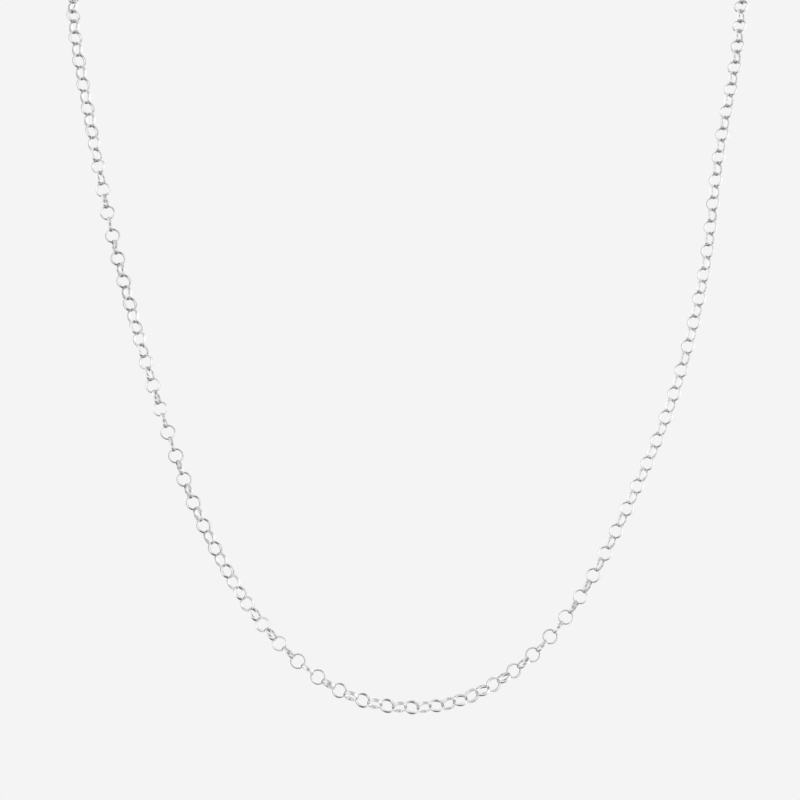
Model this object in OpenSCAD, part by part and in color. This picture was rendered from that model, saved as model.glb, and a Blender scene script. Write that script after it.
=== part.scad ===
// Rolo chain necklace: round band links, each a quarter turn from the next, closed by a plain clasp
// at the nape. Millimetres, +Z up, the wearer's front towards -Y, the middle of the nape at the origin.

/* [Links] */
// Outer diameter of a link
link_d = 2.5; // [2.3:0.1:3]
// Thickness of a link's band along its middle
band_t = 0.18; // [0.15:0.01:0.2]
// Width of a link's band
band_w = 0.6; // [0.5:0.05:0.8]
// Width of the bevel along both outer edges of the band
bevel_w = 0.12; // [0.1:0.01:0.2]
// Depth of that bevel
bevel_depth = 0.03; // [0.02:0.01:0.04]
// Radius to which the band's inside is crowned, so that a linked band can lean in the hole
inner_crown = 0.8; // [0.7:0.05:1.1]
// Clearance between two links, measured where one hangs in the other
link_gap = 0.14; // [0.12:0.01:0.2]

/* [End rings] */
// Outer diameter of the ring at each end of the chain
ring_d = 4; // [3.6:0.1:4.6]
// Wire diameter of these rings
ring_wire = 0.6; // [0.5:0.05:0.7]
// Clearance between a ring and what hangs in it
ring_gap = 0.15; // [0.12:0.01:0.2]

/* [Clasp] */
// Outer diameter of the clasp's round body
clasp_d = 6; // [5.5:0.1:7]
// Wire diameter of the clasp's body
clasp_wire = 1; // [0.8:0.05:1.2]
// Outer diameter of the clasp's tail eye
eye_d = 2.6; // [2.4:0.1:3]
// Wire diameter of the tail eye
eye_wire = 0.6; // [0.5:0.05:0.7]
// Depth to which the eye's wire is soldered into the body's wire
solder_depth = 0.3; // [0.2:0.05:0.4]

/* [Hidden] */

// Stops of the route, from the nape down one side, across the front and back up the other side:
// x, y and z, then the turn of a link about the route, which is 0 where it faces straight ahead
route = [
    [0, 0, 0, 0],
    [-27.5, -5.5, -3, -10],
    [-47, -20.5, -10, -21],
    [-55.5, -37, -18, -32],
    [-55, -48.5, -31, -41],
    [-52, -51.5, -48, -45],
    [-48.5, -55, -64.5, -94],
    [-44.5, -59, -79, -133],
    [-39.5, -63, -95, -175],
    [-32.5, -66.5, -113, -213],
    [-22.5, -68, -129.5, -253],
    [-9.5, -67.5, -140, -300],
    [4.5, -64.5, -142, -317],
    [16.5, -61, -137, -345],
    [26.5, -59, -126.5, -377],
    [35, -57.5, -111, -394],
    [42.5, -56.5, -93, -396],
    [47.5, -54.5, -74, -397],
    [50.5, -50.5, -54, -397],
    [54.5, -44.5, -34, -391],
    [55.5, -34, -18, -384],
    [47, -19.5, -9.5, -375],
    [27.5, -5.5, -3, -367],
];
// Turn that the links gain in one whole round
round_turn = -360;
// Points worked out between one stop and the next
stop_steps = 20;
// Half of the stretch of route over which a piece takes its direction
half_reach = 0.5;
// The direction that a piece at turn 0 faces
ahead = [0, 1, 0];
// Turn of a piece against the one that it hangs in
quarter_turn = 90;
// Smoothness of a ring, of its wire and of a link's crowned inside
ring_fn = 48;
wire_fn = 32;
crown_fn = 96;

// Stop number i, counted on round the loop in either direction
function stop(i) =
    let (rounds = floor(i / len(route)))
    route[i - rounds * len(route)] + [0, 0, 0, round_turn * rounds];

// Place and turn a share u of the way from stop i to the next, on a smooth curve through the stops
function between(i, u) =
    let (a = stop(i - 1), b = stop(i), c = stop(i + 1), d = stop(i + 2))
    0.5 * (2 * b + (c - a) * u + (2 * a - 5 * b + 4 * c - d) * u ^ 2 + (3 * b - a - 3 * c + d) * u ^ 3);

function place(p) = [p[0], p[1], p[2]];
function unit(v) = v / norm(v);

points = [
    for (i = [0 : len(route) - 1], j = [0 : stop_steps - 1]) between(i, j / stop_steps),
    stop(len(route))
];
hops = [for (i = [1 : len(points) - 1]) norm(place(points[i]) - place(points[i - 1]))];
lengths = [for (i = 0, s = 0; i < len(points); s = s + (i < len(hops) ? hops[i] : 0), i = i + 1) s];
round_length = lengths[len(lengths) - 1];
columns = [for (axis = [0 : 3]) [for (i = [0 : len(points) - 1]) [lengths[i], points[i][axis]]]];

// Place and turn at a distance s along the route from the nape
function at(s) = [for (column = columns) lookup(s, column)];

// Hole radius of each kind of ring
link_hole = link_d / 2 - band_t;
ring_hole = ring_d / 2 - ring_wire;
clasp_hole = clasp_d / 2 - clasp_wire;
eye_hole = eye_d / 2 - eye_wire;

// Centre distances along the route, each pair drawn apart until only its clearance is left
eye_step = clasp_d / 2 + eye_d / 2 - solder_depth;
eye_to_ring = eye_hole + ring_hole - ring_gap;
clasp_to_ring = clasp_hole + ring_hole - ring_gap;
ring_to_link = ring_hole + link_hole - ring_gap;
widest_pitch = 2 * link_hole - link_gap;

// The chain fills what the clasp and its rings leave, with links at both ends that face alike
end_ring_at = eye_step + eye_to_ring;
clasp_ring_at = round_length - clasp_to_ring;
first_link_at = end_ring_at + ring_to_link;
chain_run = clasp_ring_at - ring_to_link - first_link_at;
link_count = 2 * ceil(chain_run / widest_pitch / 2) + 1;
pitch = chain_run / (link_count - 1);

// Puts a piece at distance s on the route, its x along the route and its axis at the route's turn
module on_route(s, extra_turn = 0) {
    here = at(s);
    along = unit(place(at(s + half_reach)) - place(at(s - half_reach)));
    facing = unit(ahead - along * (along * ahead));
    turn = here[3] + extra_turn;
    axis = cos(turn) * facing + sin(turn) * cross(along, facing);
    across = cross(axis, along);
    multmatrix([for (i = [0 : 2]) [along[i], across[i], axis[i], here[i]]]) children();
}

// Ring of round wire, lying in the XY plane
module wire_ring(outer_d, wire) {
    rotate_extrude($fn = ring_fn)
        translate([(outer_d - wire) / 2, 0]) circle(d = wire, $fn = wire_fn);
}

// Section of a link's band: crowned inside, and flat between two bevels outside
module band_section() {
    flat_w = band_w - 2 * bevel_w;
    intersection() {
        translate([link_hole + inner_crown, 0]) circle(r = inner_crown, $fn = crown_fn);
        polygon([
            [link_hole, -band_w / 2],
            [link_d / 2 - bevel_depth, -band_w / 2],
            [link_d / 2, -flat_w / 2],
            [link_d / 2, flat_w / 2],
            [link_d / 2 - bevel_depth, band_w / 2],
            [link_hole, band_w / 2]
        ]);
    }
}

module link() {
    rotate_extrude($fn = ring_fn) band_section();
}

module chain() {
    color("silver")
        for (i = [0 : link_count - 1])
            on_route(first_link_at + i * pitch, quarter_turn * (i % 2)) link();
}

module end_ring() {
    color("gainsboro") on_route(end_ring_at, quarter_turn) wire_ring(ring_d, ring_wire);
}

module clasp_ring() {
    color("gainsboro") on_route(clasp_ring_at, quarter_turn) wire_ring(ring_d, ring_wire);
}

// Round body and tail eye, soldered into one plain piece
module clasp() {
    color("lightgray") on_route(eye_step / 2) {
        translate([-eye_step / 2, 0, 0]) wire_ring(clasp_d, clasp_wire);
        translate([eye_step / 2, 0, 0]) wire_ring(eye_d, eye_wire);
    }
}

chain();
end_ring();
clasp_ring();
clasp();
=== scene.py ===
import math
import bpy
import numpy as np
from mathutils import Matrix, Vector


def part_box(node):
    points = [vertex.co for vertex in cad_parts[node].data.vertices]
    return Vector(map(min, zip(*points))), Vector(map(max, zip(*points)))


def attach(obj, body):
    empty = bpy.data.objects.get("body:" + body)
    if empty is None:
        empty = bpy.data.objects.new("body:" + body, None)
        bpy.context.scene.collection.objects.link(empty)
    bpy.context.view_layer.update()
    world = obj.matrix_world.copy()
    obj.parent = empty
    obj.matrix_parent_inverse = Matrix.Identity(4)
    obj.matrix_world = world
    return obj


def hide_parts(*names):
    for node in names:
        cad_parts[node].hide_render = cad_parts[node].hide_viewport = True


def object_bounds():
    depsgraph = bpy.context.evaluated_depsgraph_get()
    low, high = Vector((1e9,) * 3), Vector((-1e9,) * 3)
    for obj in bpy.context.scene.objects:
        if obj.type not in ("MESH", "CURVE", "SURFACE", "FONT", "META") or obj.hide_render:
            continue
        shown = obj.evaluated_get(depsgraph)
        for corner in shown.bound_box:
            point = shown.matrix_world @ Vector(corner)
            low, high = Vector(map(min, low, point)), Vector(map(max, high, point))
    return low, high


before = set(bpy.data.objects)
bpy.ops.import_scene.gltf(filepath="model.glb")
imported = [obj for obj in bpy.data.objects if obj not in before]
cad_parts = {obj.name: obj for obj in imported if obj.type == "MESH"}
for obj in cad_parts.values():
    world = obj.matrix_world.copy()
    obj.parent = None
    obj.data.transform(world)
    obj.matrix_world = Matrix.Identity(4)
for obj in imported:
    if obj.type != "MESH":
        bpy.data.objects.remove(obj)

mm = 0.001
cadBox = [list(corner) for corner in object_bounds()]
print("frame loaded, the CAD box is", cadBox)

# The camera is level and looks along +Y, from the distance that the near links' size shows
photoCamera = {
    "place": (-1.5, -461.0, -93.9),  # mm from the nape
    "lens": 113.3,
    "sensor": 36.0,
    "clip": (0.01, 20.0),  # metres
}


def setCamera(values):
    data = bpy.data.cameras.new("photoCamera")
    data.lens = values["lens"]
    data.sensor_width = values["sensor"]
    data.clip_start, data.clip_end = values["clip"]
    camera = bpy.data.objects.new("photoCamera", data)
    bpy.context.scene.collection.objects.link(camera)
    camera.location = [value * mm for value in values["place"]]
    camera.rotation_euler = (math.radians(90), 0, 0)
    bpy.context.scene.camera = camera
    print("camera set")


setCamera(photoCamera)

# Pale studio: one even ground, and a bright tent round the object with softly darker places
studio = {
    "ground": 0.905,  # the ground's tone, which is sRGB 244
    "tent": 0.985,  # the tent's brightness in the metal
    "floorDrop": 0.16,  # metres from the lowest link down to the floor
    "floorSide": 6.0,  # metres
    # each place of its own tone: direction from the object, its brightness, and the cosines where it starts and is full
    "shades": {
        "camera": {"towards": (0.1, -0.99, -0.01), "tone": 0.35, "start": 0.76, "full": 1.0},
        "behind": {"towards": (-0.3, 0.95, -0.08), "tone": 0.04, "start": 0.79, "full": 0.89},
        "below": {"towards": (-0.04, 0.2, -0.98), "tone": 0.14, "start": 0.58, "full": 0.99},
        "ceiling": {"towards": (0.32, -0.18, 0.93), "tone": 0.64, "start": 0.53, "full": 0.9},
        "left": {"towards": (-0.99, 0.14, 0.07), "tone": 1.12, "start": 0.68, "full": 0.96},
        "right": {"towards": (0.96, 0.27, 0.1), "tone": 1.32, "start": 0.69, "full": 0.97},
    },
}


def addNode(tree, kind, place=(0, 0), **settings):
    node = tree.nodes.new(kind)
    node.location = place
    for name, value in settings.items():
        setattr(node, name, value)
    return node


def setStudio(values):
    scene = bpy.context.scene
    scene.view_settings.view_transform = "Standard"
    world = bpy.data.worlds.new("studio")
    scene.world = world
    world.use_nodes = True
    tree = world.node_tree
    tree.nodes.clear()
    direction = addNode(tree, "ShaderNodeTexCoord", (-1200, 0)).outputs["Generated"]
    tone = addNode(tree, "ShaderNodeValue", (-1000, 300))
    tone.outputs[0].default_value = values["tent"]
    light = tone.outputs[0]
    for place, shade in enumerate(values["shades"].values()):
        towards = np.array(shade["towards"], float)
        towards = towards / np.linalg.norm(towards)
        x, y = -1000 + 250 * place, -300 * place
        closeness = addNode(tree, "ShaderNodeVectorMath", (x, y), operation="DOT_PRODUCT")
        closeness.inputs[1].default_value = towards
        tree.links.new(direction, closeness.inputs[0])
        darker = addNode(tree, "ShaderNodeMapRange", (x + 200, y), interpolation_type="SMOOTHSTEP")
        darker.inputs["From Min"].default_value = shade["start"]
        darker.inputs["From Max"].default_value = shade["full"]
        darker.inputs["To Min"].default_value = 1.0
        darker.inputs["To Max"].default_value = shade["tone"]
        tree.links.new(closeness.outputs["Value"], darker.inputs["Value"])
        product = addNode(tree, "ShaderNodeMath", (x + 400, y), operation="MULTIPLY")
        tree.links.new(light, product.inputs[0])
        tree.links.new(darker.outputs["Result"], product.inputs[1])
        light = product.outputs[0]
    tent = addNode(tree, "ShaderNodeBackground", (300, 200))
    tree.links.new(light, tent.inputs["Color"])
    ground = addNode(tree, "ShaderNodeBackground", (300, 0))
    ground.inputs["Color"].default_value = (values["ground"],) * 3 + (1,)
    rays = addNode(tree, "ShaderNodeLightPath", (300, 500))
    seen = addNode(tree, "ShaderNodeMixShader", (600, 200))
    tree.links.new(rays.outputs["Is Camera Ray"], seen.inputs[0])
    tree.links.new(tent.outputs[0], seen.inputs[1])
    tree.links.new(ground.outputs[0], seen.inputs[2])
    tree.links.new(seen.outputs[0], addNode(tree, "ShaderNodeOutputWorld", (800, 200)).inputs[0])

    # floor: a plain pale sheet that takes the ground's tone, and leaves the metal the tent's lower half
    half, level = values["floorSide"] / 2, cadBox[0][2] - values["floorDrop"]
    corners = [(-half, -half, level), (half, -half, level), (half, half, level), (-half, half, level)]
    mesh = bpy.data.meshes.new("studioFloor")
    mesh.from_pydata(corners, [], [(0, 1, 2, 3)])
    floor = bpy.data.objects.new("studioFloor", mesh)
    scene.collection.objects.link(floor)
    pale = bpy.data.materials.new("paleFloor")
    pale.use_nodes = True
    pale.node_tree.nodes.clear()
    glow = addNode(pale.node_tree, "ShaderNodeEmission")
    glow.inputs["Color"].default_value = (values["ground"],) * 3 + (1,)
    out = addNode(pale.node_tree, "ShaderNodeOutputMaterial", (200, 0))
    pale.node_tree.links.new(glow.outputs[0], out.inputs[0])
    mesh.materials.append(pale)
    floor.visible_glossy = False
    floor.visible_diffuse = False
    print("studio set")


setStudio(studio)


def nodePoints(node):
    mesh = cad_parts[node].data
    spots = np.empty(len(mesh.vertices) * 3)
    mesh.vertices.foreach_get("co", spots)
    return spots.reshape(-1, 3)


def looseSolids(node):
    # Points that lie in one place, to a thousandth of a millimetre, count as one. Each point takes the lowest label
    # among the triangles that it belongs to, over and over, until every solid has a single label. A solid's centre
    # is the mean of its triangles' middles, weighed by area, and its spread is their covariance.
    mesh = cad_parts[node].data
    mesh.calc_loop_triangles()
    corners = np.empty(len(mesh.loop_triangles) * 3, int)
    mesh.loop_triangles.foreach_get("vertices", corners)
    spots = np.round(nodePoints(node) / (0.001 * mm)).astype(int)
    places, same = np.unique(spots, axis=0, return_inverse=True)
    corners = same.reshape(-1)[corners].reshape(-1, 3)
    label = np.arange(len(places))
    while True:
        lowest = label.copy()
        np.minimum.at(lowest, corners.ravel(), np.repeat(label[corners].min(axis=1), 3))
        lowest = lowest[lowest]
        if (lowest == label).all():
            break
        label = lowest
    points = places * 0.001 * mm
    a, b, c = points[corners[:, 0]], points[corners[:, 1]], points[corners[:, 2]]
    area = np.linalg.norm(np.cross(b - a, c - a), axis=1)
    middle = (a + b + c) / 3
    names, solid = np.unique(label[corners[:, 0]], return_inverse=True)
    solid = solid.reshape(-1)
    weight = np.bincount(solid, area)
    centre = np.stack([np.bincount(solid, area * middle[:, i]) for i in range(3)], 1) / weight[:, None]
    away = middle - centre[solid]
    spread = np.stack([np.bincount(solid, area * away[:, i] * away[:, j]) for i in range(3) for j in range(3)], 1)
    return centre, (spread / weight[:, None]).reshape(-1, 3, 3)


def unit(vectors):
    return vectors / np.linalg.norm(vectors, axis=-1, keepdims=True)


def linkPlaces():
    # The axis of a ring is the direction in which it spreads least. The links are put in order by walking from
    # the one beside the end ring to the nearest that isn't taken yet.
    centre, spread = looseSolids("chain")
    axis = np.linalg.eigh(spread)[1][:, :, 0]
    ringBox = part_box("end_ring")
    start = np.array((ringBox[0] + ringBox[1]) / 2)
    distance = np.linalg.norm(centre[:, None] - centre[None], axis=2)
    order = [int(np.argmin(np.linalg.norm(centre - start, axis=1)))]
    free = np.ones(len(centre), bool)
    free[order[0]] = False
    for step in range(len(centre) - 1):
        nearest = int(np.argmin(np.where(free, distance[order[-1]], np.inf)))
        order.append(nearest)
        free[nearest] = False
    centre, axis = centre[order], axis[order]
    along = unit(np.gradient(centre, axis=0))
    along = unit(along - axis * (along * axis).sum(axis=1, keepdims=True))
    return centre, axis, along


def ringGrid(centre, axis, along, radius, section, sides):
    # Each ring is a grid: point (i, j) lies at the centre, plus (radius + out_j) towards the angle i / sides of a
    # turn in the ring's plane, plus across_j along the ring's axis, where (out_j, across_j) is a section's point.
    side = np.cross(axis, along)
    turn = 2 * np.pi * (np.arange(sides) + 0.5) / sides
    spoke = np.cos(turn)[None, :, None] * along[:, None] + np.sin(turn)[None, :, None] * side[:, None]
    out, across = section[:, 0], section[:, 1]
    reach = (radius + out)[None, None, :, None] * spoke[:, :, None]
    return centre[:, None, None] + reach + across[None, None, :, None] * axis[:, None, None]


def ringFaces(rings, sides, points):
    # Square (i, j) joins the grid's points i and i + 1, j and j + 1, both closing on themselves, and faces outwards
    i, j = np.meshgrid(np.arange(sides), np.arange(points), indexing="ij")
    iNext, jNext = (i + 1) % sides, (j + 1) % points
    square = np.stack([i * points + j, i * points + jNext, iNext * points + jNext, iNext * points + j], -1)
    first = np.arange(rings)[:, None, None] * sides * points
    return (square.reshape(1, -1, 4) + first).reshape(-1, 4)


def ringRound(rings, sides, points):
    # UV: u runs once round the ring, v once round the section
    i, j = np.meshgrid(np.arange(sides), np.arange(points), indexing="ij")
    u = np.stack([i, i, i + 1, i + 1], -1) / sides
    v = np.stack([j, j + 1, j + 1, j], -1) / points
    return np.tile(np.stack([u, v], -1).reshape(-1, 2), (rings, 1))


def meshPiece(name, grids):
    # Each grid holds rings x sides x section points x 3
    firsts = np.cumsum([0] + [grid.size // 3 for grid in grids])
    faces = np.concatenate([ringFaces(*grid.shape[:3]) + first for grid, first in zip(grids, firsts)])
    uv = np.concatenate([ringRound(*grid.shape[:3]) for grid in grids])
    mesh = bpy.data.meshes.new(name)
    mesh.vertices.add(int(firsts[-1]))
    mesh.vertices.foreach_set("co", np.concatenate([grid.reshape(-1) for grid in grids]).astype(np.float32))
    mesh.loops.add(faces.size)
    mesh.loops.foreach_set("vertex_index", faces.reshape(-1))
    mesh.polygons.add(len(faces))
    mesh.polygons.foreach_set("loop_start", np.arange(0, faces.size, 4))
    mesh.update(calc_edges=True)
    mesh.polygons.foreach_set("use_smooth", np.ones(len(faces), bool))
    mesh.uv_layers.new(name="round").data.foreach_set("uv", uv.reshape(-1).astype(np.float32))
    piece = bpy.data.objects.new(name, mesh)
    bpy.context.scene.collection.objects.link(piece)
    return piece


# Round links of a thin, crowned band
band = {
    "outer": 2.44,  # mm, diameter of a link
    "thick": 0.22,  # mm, at the crown
    "edgeThick": 0.12,  # mm, at the edges
    "wide": 0.53,  # mm
    "edgeLean": 25,  # degrees by which the normals lean over at the edges
    "sides": 16,
    "toneSeed": 7,  # of the links' own tones
}


def bandSection(values):
    # Six points round the band: the crown outside, one edge, the crown inside, the other edge
    edge, crown, halfWide = values["edgeThick"] / 2, values["thick"] / 2, values["wide"] / 2
    section = [(crown, 0), (edge, -halfWide), (-edge, -halfWide), (-crown, 0), (-edge, halfWide), (edge, halfWide)]
    return np.array(section) * mm


def buildLinks(values):
    centre, axis, along = linkPlaces()
    radius = (values["outer"] - values["thick"]) / 2 * mm
    section = bandSection(values)
    grid = ringGrid(centre, axis, along, radius, section, values["sides"])
    links = meshPiece("chainLinks", [grid])
    # the band's normals point straight out or in at its crowns, and lean over at its edges, so that it looks rounded
    lean = np.radians(values["edgeLean"]) * np.sign(section[:, 1])
    facing = np.stack([np.sign(section[:, 0]) * np.cos(lean), np.sin(lean)], 1)
    normals = ringGrid(centre * 0, axis, along, 0, facing, values["sides"])
    links.data.normals_split_custom_set_from_vertices(normals.reshape(-1, 3).tolist())
    rng = np.random.default_rng(values["toneSeed"])
    tone = np.repeat(rng.uniform(-1, 1, len(centre)), values["sides"] * len(section))
    links.data.attributes.new("linkTone", "FLOAT", "POINT").data.foreach_set("value", tone)
    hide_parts("chain")
    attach(links, "root")
    print("links built:", len(centre))
    return links


links = buildLinks(band)

# Plain wire rings at the two ends of the chain
endWire = {
    "outer": 4.0,  # mm, diameter of a ring
    "wire": 0.6,  # mm
    "sides": 96,
    "points": 20,
}


def wireSection(wire, points):
    # A circle: angle j / points of a turn round the middle of the wire
    turn = -2 * np.pi * np.arange(points) / points
    return np.stack([np.cos(turn), np.sin(turn)], 1) * wire / 2 * mm


def flatPlace(node):
    # A flat piece's centre, the axis across which it spreads least, and the direction in which it spreads most
    centre, spread = looseSolids(node)
    directions = np.linalg.eigh(spread)[1]
    return centre, directions[:, :, 0], directions[:, :, 2]


def buildEndWire(name, node, values):
    centre, axis, along = flatPlace(node)
    radius = (values["outer"] - values["wire"]) / 2 * mm
    grid = ringGrid(centre, axis, along, radius, wireSection(values["wire"], values["points"]), values["sides"])
    ring = meshPiece(name, [grid])
    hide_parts(node)
    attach(ring, "root")
    print(name, "built")
    return ring


endRing = buildEndWire("endRing", "end_ring", endWire)
claspRing = buildEndWire("claspRing", "clasp_ring", endWire)

# The fastening: a round body and a tail eye, soldered into one plain piece
fastening = {
    "outer": 6.0,  # mm, diameter of the body
    "wire": 1.0,  # mm
    "eyeOuter": 2.6,  # mm
    "eyeWire": 0.6,  # mm
    "solder": 0.35,  # mm, the reach of the solder's fillet
    "solderRounds": 12,  # rounds in which the fillet settles
    "sides": 160,
    "points": 36,
}


def wireDistance(points, ring):
    # Distance to a ring's wire: how far a point lies from the circle of the wire's middle, less the wire's radius
    away = points - ring["centre"]
    height = away @ ring["axis"]
    flat = np.linalg.norm(away - height[..., None] * ring["axis"], axis=-1)
    return np.hypot(flat - ring["radius"], height) - ring["wire"] / 2


def filleted(grid, ring, other, solder, rounds):
    # Every point moves out along its wire's own normal, until the blended distance to both wires is nought:
    # the lesser distance, less a quarter of (solder - their difference) squared over solder where they are near.
    away = grid - ring["centre"]
    flat = away - (away @ ring["axis"])[..., None] * ring["axis"]
    outwards = unit(away - unit(flat) * ring["radius"])
    moved = np.zeros(grid.shape[:-1])
    for step in range(rounds):
        spot = grid + moved[..., None] * outwards
        own, far = wireDistance(spot, ring), wireDistance(spot, other)
        near = np.maximum(solder - np.abs(own - far), 0)
        moved = np.clip(moved - (np.minimum(own, far) - near ** 2 / (4 * solder)), 0, solder / 2)
    return grid + moved[..., None] * outwards


def buildFastening(values):
    centre, axis, along = flatPlace("clasp")
    centre, axis, along = centre[0], axis[0], along[0]
    reach = (nodePoints("clasp") - centre) @ along
    if abs(reach.min()) > abs(reach.max()):
        along, reach = -along, -reach
    # the piece reaches farther from its centre on the eye's side
    body = {"centre": centre + along * (reach.min() + values["outer"] / 2 * mm), "axis": axis,
            "radius": (values["outer"] - values["wire"]) / 2 * mm, "wire": values["wire"] * mm}
    eye = {"centre": centre + along * (reach.max() - values["eyeOuter"] / 2 * mm), "axis": axis,
           "radius": (values["eyeOuter"] - values["eyeWire"]) / 2 * mm, "wire": values["eyeWire"] * mm}
    solder = values["solder"] * mm
    grids = []
    for ring, other in ((body, eye), (eye, body)):
        section = wireSection(ring["wire"] / mm, values["points"])
        grid = ringGrid(ring["centre"][None], axis[None], along[None], ring["radius"], section, values["sides"])
        grids.append(filleted(grid, ring, other, solder, values["solderRounds"]))
    clasp = meshPiece("claspBody", grids)
    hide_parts("clasp")
    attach(clasp, "root")
    print("fastening built")
    return clasp


clasp = buildFastening(fastening)

# Silver: lightly scratched, a little duller in patches, with a fine solder seam across each ring's wire, and painted
# shade at the links' joints
finishes = {
    "patchSize": 700.0,  # per metre
    "patchDetail": 4,
    "patchRange": (0.38, 0.7),  # of the noise, where a patch starts and is full
    "dull": (0.78, 0.78, 0.775),  # colour of a duller patch
    "scratchSize": (9000.0, 900.0, 2600.0),  # per metre, along x, y and z
    "scratchTurn": (0.5, 0.9, 0.3),  # radians
    "scratchDetail": 3,
    "scratchDepth": 0.000004,  # metres
    "seamAt": 0.25,  # turns round the ring, from the way that the chain runs
    "seamHalfWidth": 0.01,  # turns
    "toneSpread": 0.05,  # by how much a link is darker or paler than the next
    "jointCosines": (0.87, 1.0),  # of the angle between a spot on a link and the way that the chain runs
    "paintedJointShade": (0.78, 0.78, 0.78),  # painted shade where one link lies in the next, standing in for the shade that falls between the links
    # colour and roughness where the polish is good, roughness of a duller patch, and the scratches' strength
    "metals": {
        "linkSilver": {"base": (0.90, 0.90, 0.90), "smooth": 0.08, "rough": 0.16, "scratches": 0.3},
        "ringSilver": {"base": (0.90, 0.90, 0.895), "smooth": 0.12, "rough": 0.22, "scratches": 0.4},
        "claspSilver": {"base": (0.88, 0.88, 0.875), "smooth": 0.16, "rough": 0.28, "scratches": 0.5},
    },
}


def newGroup(name, inputs, outputs):
    group = bpy.data.node_groups.new(name, "ShaderNodeTree")
    for inOut, sockets in (("INPUT", inputs), ("OUTPUT", outputs)):
        for socket, kind in sockets.items():
            group.interface.new_socket(name=socket, in_out=inOut, socket_type=kind)
    return group


def ringMarks(values, sides):
    # Gives two masks from the share of a turn round the ring. Seam is a line across the wire: 1 at its place, fading
    # to 0 beside it. Joints is 1 at the two ends of a link, where its neighbours lie, and 0 along its sides: there the
    # links get painted shade.
    group = newGroup("ringMarks", {}, {"Seam": "NodeSocketFloat", "Joints": "NodeSocketFloat"})
    result = addNode(group, "NodeGroupOutput", (400, 0))
    turns = addNode(group, "ShaderNodeSeparateXYZ", (-600, 0))
    group.links.new(addNode(group, "ShaderNodeUVMap", (-800, 0), uv_map="round").outputs[0], turns.inputs[0])
    past = addNode(group, "ShaderNodeMath", (-400, 0), operation="SUBTRACT")
    past.inputs[1].default_value = values["seamAt"]
    group.links.new(turns.outputs["X"], past.inputs[0])
    away = addNode(group, "ShaderNodeMath", (-200, 0), operation="ABSOLUTE")
    group.links.new(past.outputs[0], away.inputs[0])
    fade = addNode(group, "ShaderNodeMapRange", (100, 0), interpolation_type="SMOOTHSTEP")
    fade.inputs["From Max"].default_value = values["seamHalfWidth"]
    fade.inputs["To Min"].default_value = 1.0
    fade.inputs["To Max"].default_value = 0.0
    group.links.new(away.outputs[0], fade.inputs["Value"])
    group.links.new(fade.outputs["Result"], result.inputs["Seam"])
    angle = addNode(group, "ShaderNodeMath", (-400, -250), operation="MULTIPLY_ADD")
    angle.inputs[1].default_value = 2 * math.pi
    angle.inputs[2].default_value = math.pi / sides
    group.links.new(turns.outputs["X"], angle.inputs[0])
    cosine = addNode(group, "ShaderNodeMath", (-250, -250), operation="COSINE")
    group.links.new(angle.outputs[0], cosine.inputs[0])
    either = addNode(group, "ShaderNodeMath", (-100, -250), operation="ABSOLUTE")
    group.links.new(cosine.outputs[0], either.inputs[0])
    ends = addNode(group, "ShaderNodeMapRange", (100, -250), interpolation_type="SMOOTHSTEP")
    ends.inputs["From Min"].default_value, ends.inputs["From Max"].default_value = values["jointCosines"]
    group.links.new(either.outputs[0], ends.inputs["Value"])
    group.links.new(ends.outputs["Result"], result.inputs["Joints"])
    return group


def wornPolish(values):
    # Gives a mask of duller patches and of the seam, a roughness and a scratched normal
    inputs = {socket: "NodeSocketFloat" for socket in ("Smooth", "Rough", "Scratches", "Seam")}
    outputs = {"Patches": "NodeSocketFloat", "Roughness": "NodeSocketFloat", "Normal": "NodeSocketVector"}
    group = newGroup("wornPolish", inputs, outputs)
    given = addNode(group, "NodeGroupInput", (-900, 0))
    result = addNode(group, "NodeGroupOutput", (600, 0))
    where = addNode(group, "ShaderNodeTexCoord", (-900, 300)).outputs["Object"]
    patches = addNode(group, "ShaderNodeTexNoise", (-600, 300))
    patches.inputs["Scale"].default_value = values["patchSize"]
    patches.inputs["Detail"].default_value = values["patchDetail"]
    group.links.new(where, patches.inputs["Vector"])
    clearer = addNode(group, "ShaderNodeMapRange", (-350, 300), interpolation_type="SMOOTHSTEP")
    clearer.inputs["From Min"].default_value, clearer.inputs["From Max"].default_value = values["patchRange"]
    group.links.new(patches.outputs[0], clearer.inputs["Value"])
    worn = addNode(group, "ShaderNodeMath", (-150, 300), operation="MAXIMUM")
    group.links.new(clearer.outputs["Result"], worn.inputs[0])
    group.links.new(given.outputs["Seam"], worn.inputs[1])
    group.links.new(worn.outputs[0], result.inputs["Patches"])
    rough = addNode(group, "ShaderNodeMapRange", (0, 150))
    group.links.new(worn.outputs[0], rough.inputs["Value"])
    group.links.new(given.outputs["Smooth"], rough.inputs["To Min"])
    group.links.new(given.outputs["Rough"], rough.inputs["To Max"])
    group.links.new(rough.outputs["Result"], result.inputs["Roughness"])
    stretched = addNode(group, "ShaderNodeMapping", (-600, -100))
    stretched.inputs["Scale"].default_value = values["scratchSize"]
    stretched.inputs["Rotation"].default_value = values["scratchTurn"]
    group.links.new(where, stretched.inputs["Vector"])
    fine = addNode(group, "ShaderNodeTexNoise", (-350, -100))
    fine.inputs["Scale"].default_value = 1.0
    fine.inputs["Detail"].default_value = values["scratchDetail"]
    group.links.new(stretched.outputs[0], fine.inputs["Vector"])
    relief = addNode(group, "ShaderNodeMath", (-150, -100), operation="ADD")
    group.links.new(fine.outputs[0], relief.inputs[0])
    group.links.new(given.outputs["Seam"], relief.inputs[1])
    bump = addNode(group, "ShaderNodeBump", (0, -150))
    bump.inputs["Distance"].default_value = values["scratchDepth"]
    group.links.new(given.outputs["Scratches"], bump.inputs["Strength"])
    group.links.new(relief.outputs[0], bump.inputs["Height"])
    group.links.new(bump.outputs[0], result.inputs["Normal"])
    return group


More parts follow.
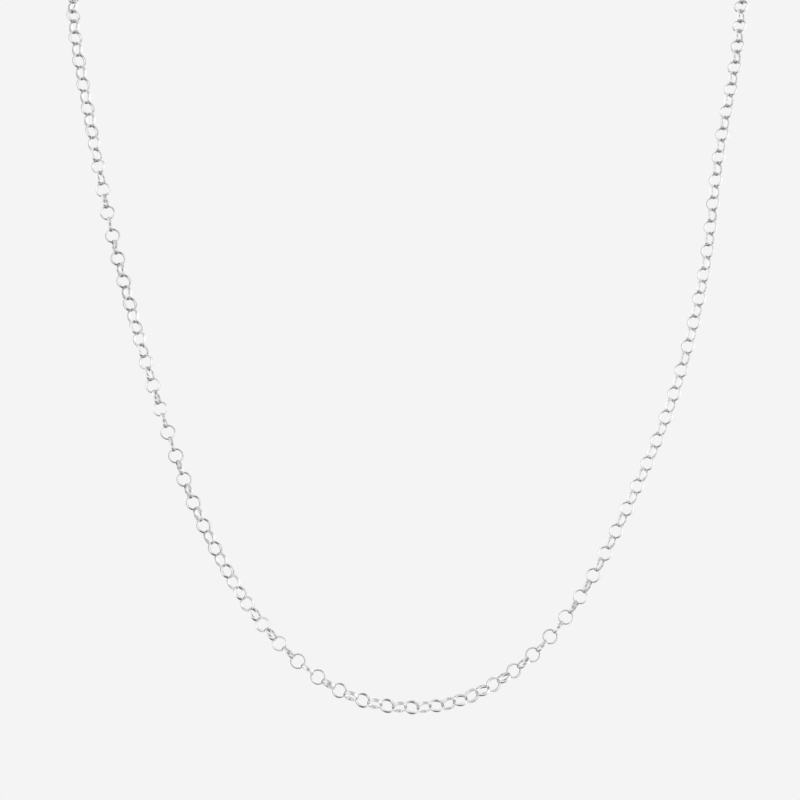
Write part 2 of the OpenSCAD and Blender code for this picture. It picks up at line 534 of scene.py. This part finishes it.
def silver(name, values, ring=False, link=False):
    # A ring has a solder seam. A link also has its own tone, and painted shade at its joints, where the next links lie.
    metal = values["metals"][name]
    material = bpy.data.materials.new(name)
    material.use_nodes = True
    tree = material.node_tree
    shader = tree.nodes["Principled BSDF"]
    shader.inputs["Metallic"].default_value = 1.0
    polish = addNode(tree, "ShaderNodeGroup", (-500, 0), node_tree=bpy.data.node_groups["wornPolish"])
    for socket in ("Smooth", "Rough", "Scratches"):
        polish.inputs[socket].default_value = metal[socket.lower()]
    if ring:
        marks = addNode(tree, "ShaderNodeGroup", (-750, 0), node_tree=bpy.data.node_groups["ringMarks"])
        tree.links.new(marks.outputs["Seam"], polish.inputs["Seam"])
    tone = addNode(tree, "ShaderNodeMix", (-250, 200), data_type="RGBA")
    tone.inputs["A"].default_value = metal["base"] + (1,)
    tone.inputs["B"].default_value = values["dull"] + (1,)
    tree.links.new(polish.outputs["Patches"], tone.inputs["Factor"])
    colour = tone.outputs["Result"]
    if link:
        own = addNode(tree, "ShaderNodeAttribute", (-450, 450), attribute_name="linkTone")
        share = addNode(tree, "ShaderNodeMapRange", (-250, 450))
        share.inputs["From Min"].default_value = -1.0
        share.inputs["To Min"].default_value = 1 - values["toneSpread"]
        share.inputs["To Max"].default_value = 1 + values["toneSpread"]
        tree.links.new(own.outputs["Fac"], share.inputs["Value"])
        toned = addNode(tree, "ShaderNodeVectorMath", (-50, 300), operation="SCALE")
        tree.links.new(colour, toned.inputs[0])
        tree.links.new(share.outputs["Result"], toned.inputs["Scale"])
        # painted shade: the link's colour darkens at its two ends, where the next links lie and shade falls between
        # them
        jointShade = addNode(tree, "ShaderNodeMix", (100, 300), data_type="RGBA")
        jointShade.inputs["B"].default_value = values["paintedJointShade"] + (1,)
        tree.links.new(marks.outputs["Joints"], jointShade.inputs["Factor"])
        tree.links.new(toned.outputs[0], jointShade.inputs["A"])
        colour = jointShade.outputs["Result"]
    tree.links.new(colour, shader.inputs["Base Color"])
    tree.links.new(polish.outputs["Roughness"], shader.inputs["Roughness"])
    tree.links.new(polish.outputs["Normal"], shader.inputs["Normal"])
    return material


ringMarks(finishes, band["sides"])
wornPolish(finishes)
ringSilver = silver("ringSilver", finishes, ring=True)
links.data.materials.append(silver("linkSilver", finishes, ring=True, link=True))
endRing.data.materials.append(ringSilver)
claspRing.data.materials.append(ringSilver)
clasp.data.materials.append(silver("claspSilver", finishes))
print("metals given")
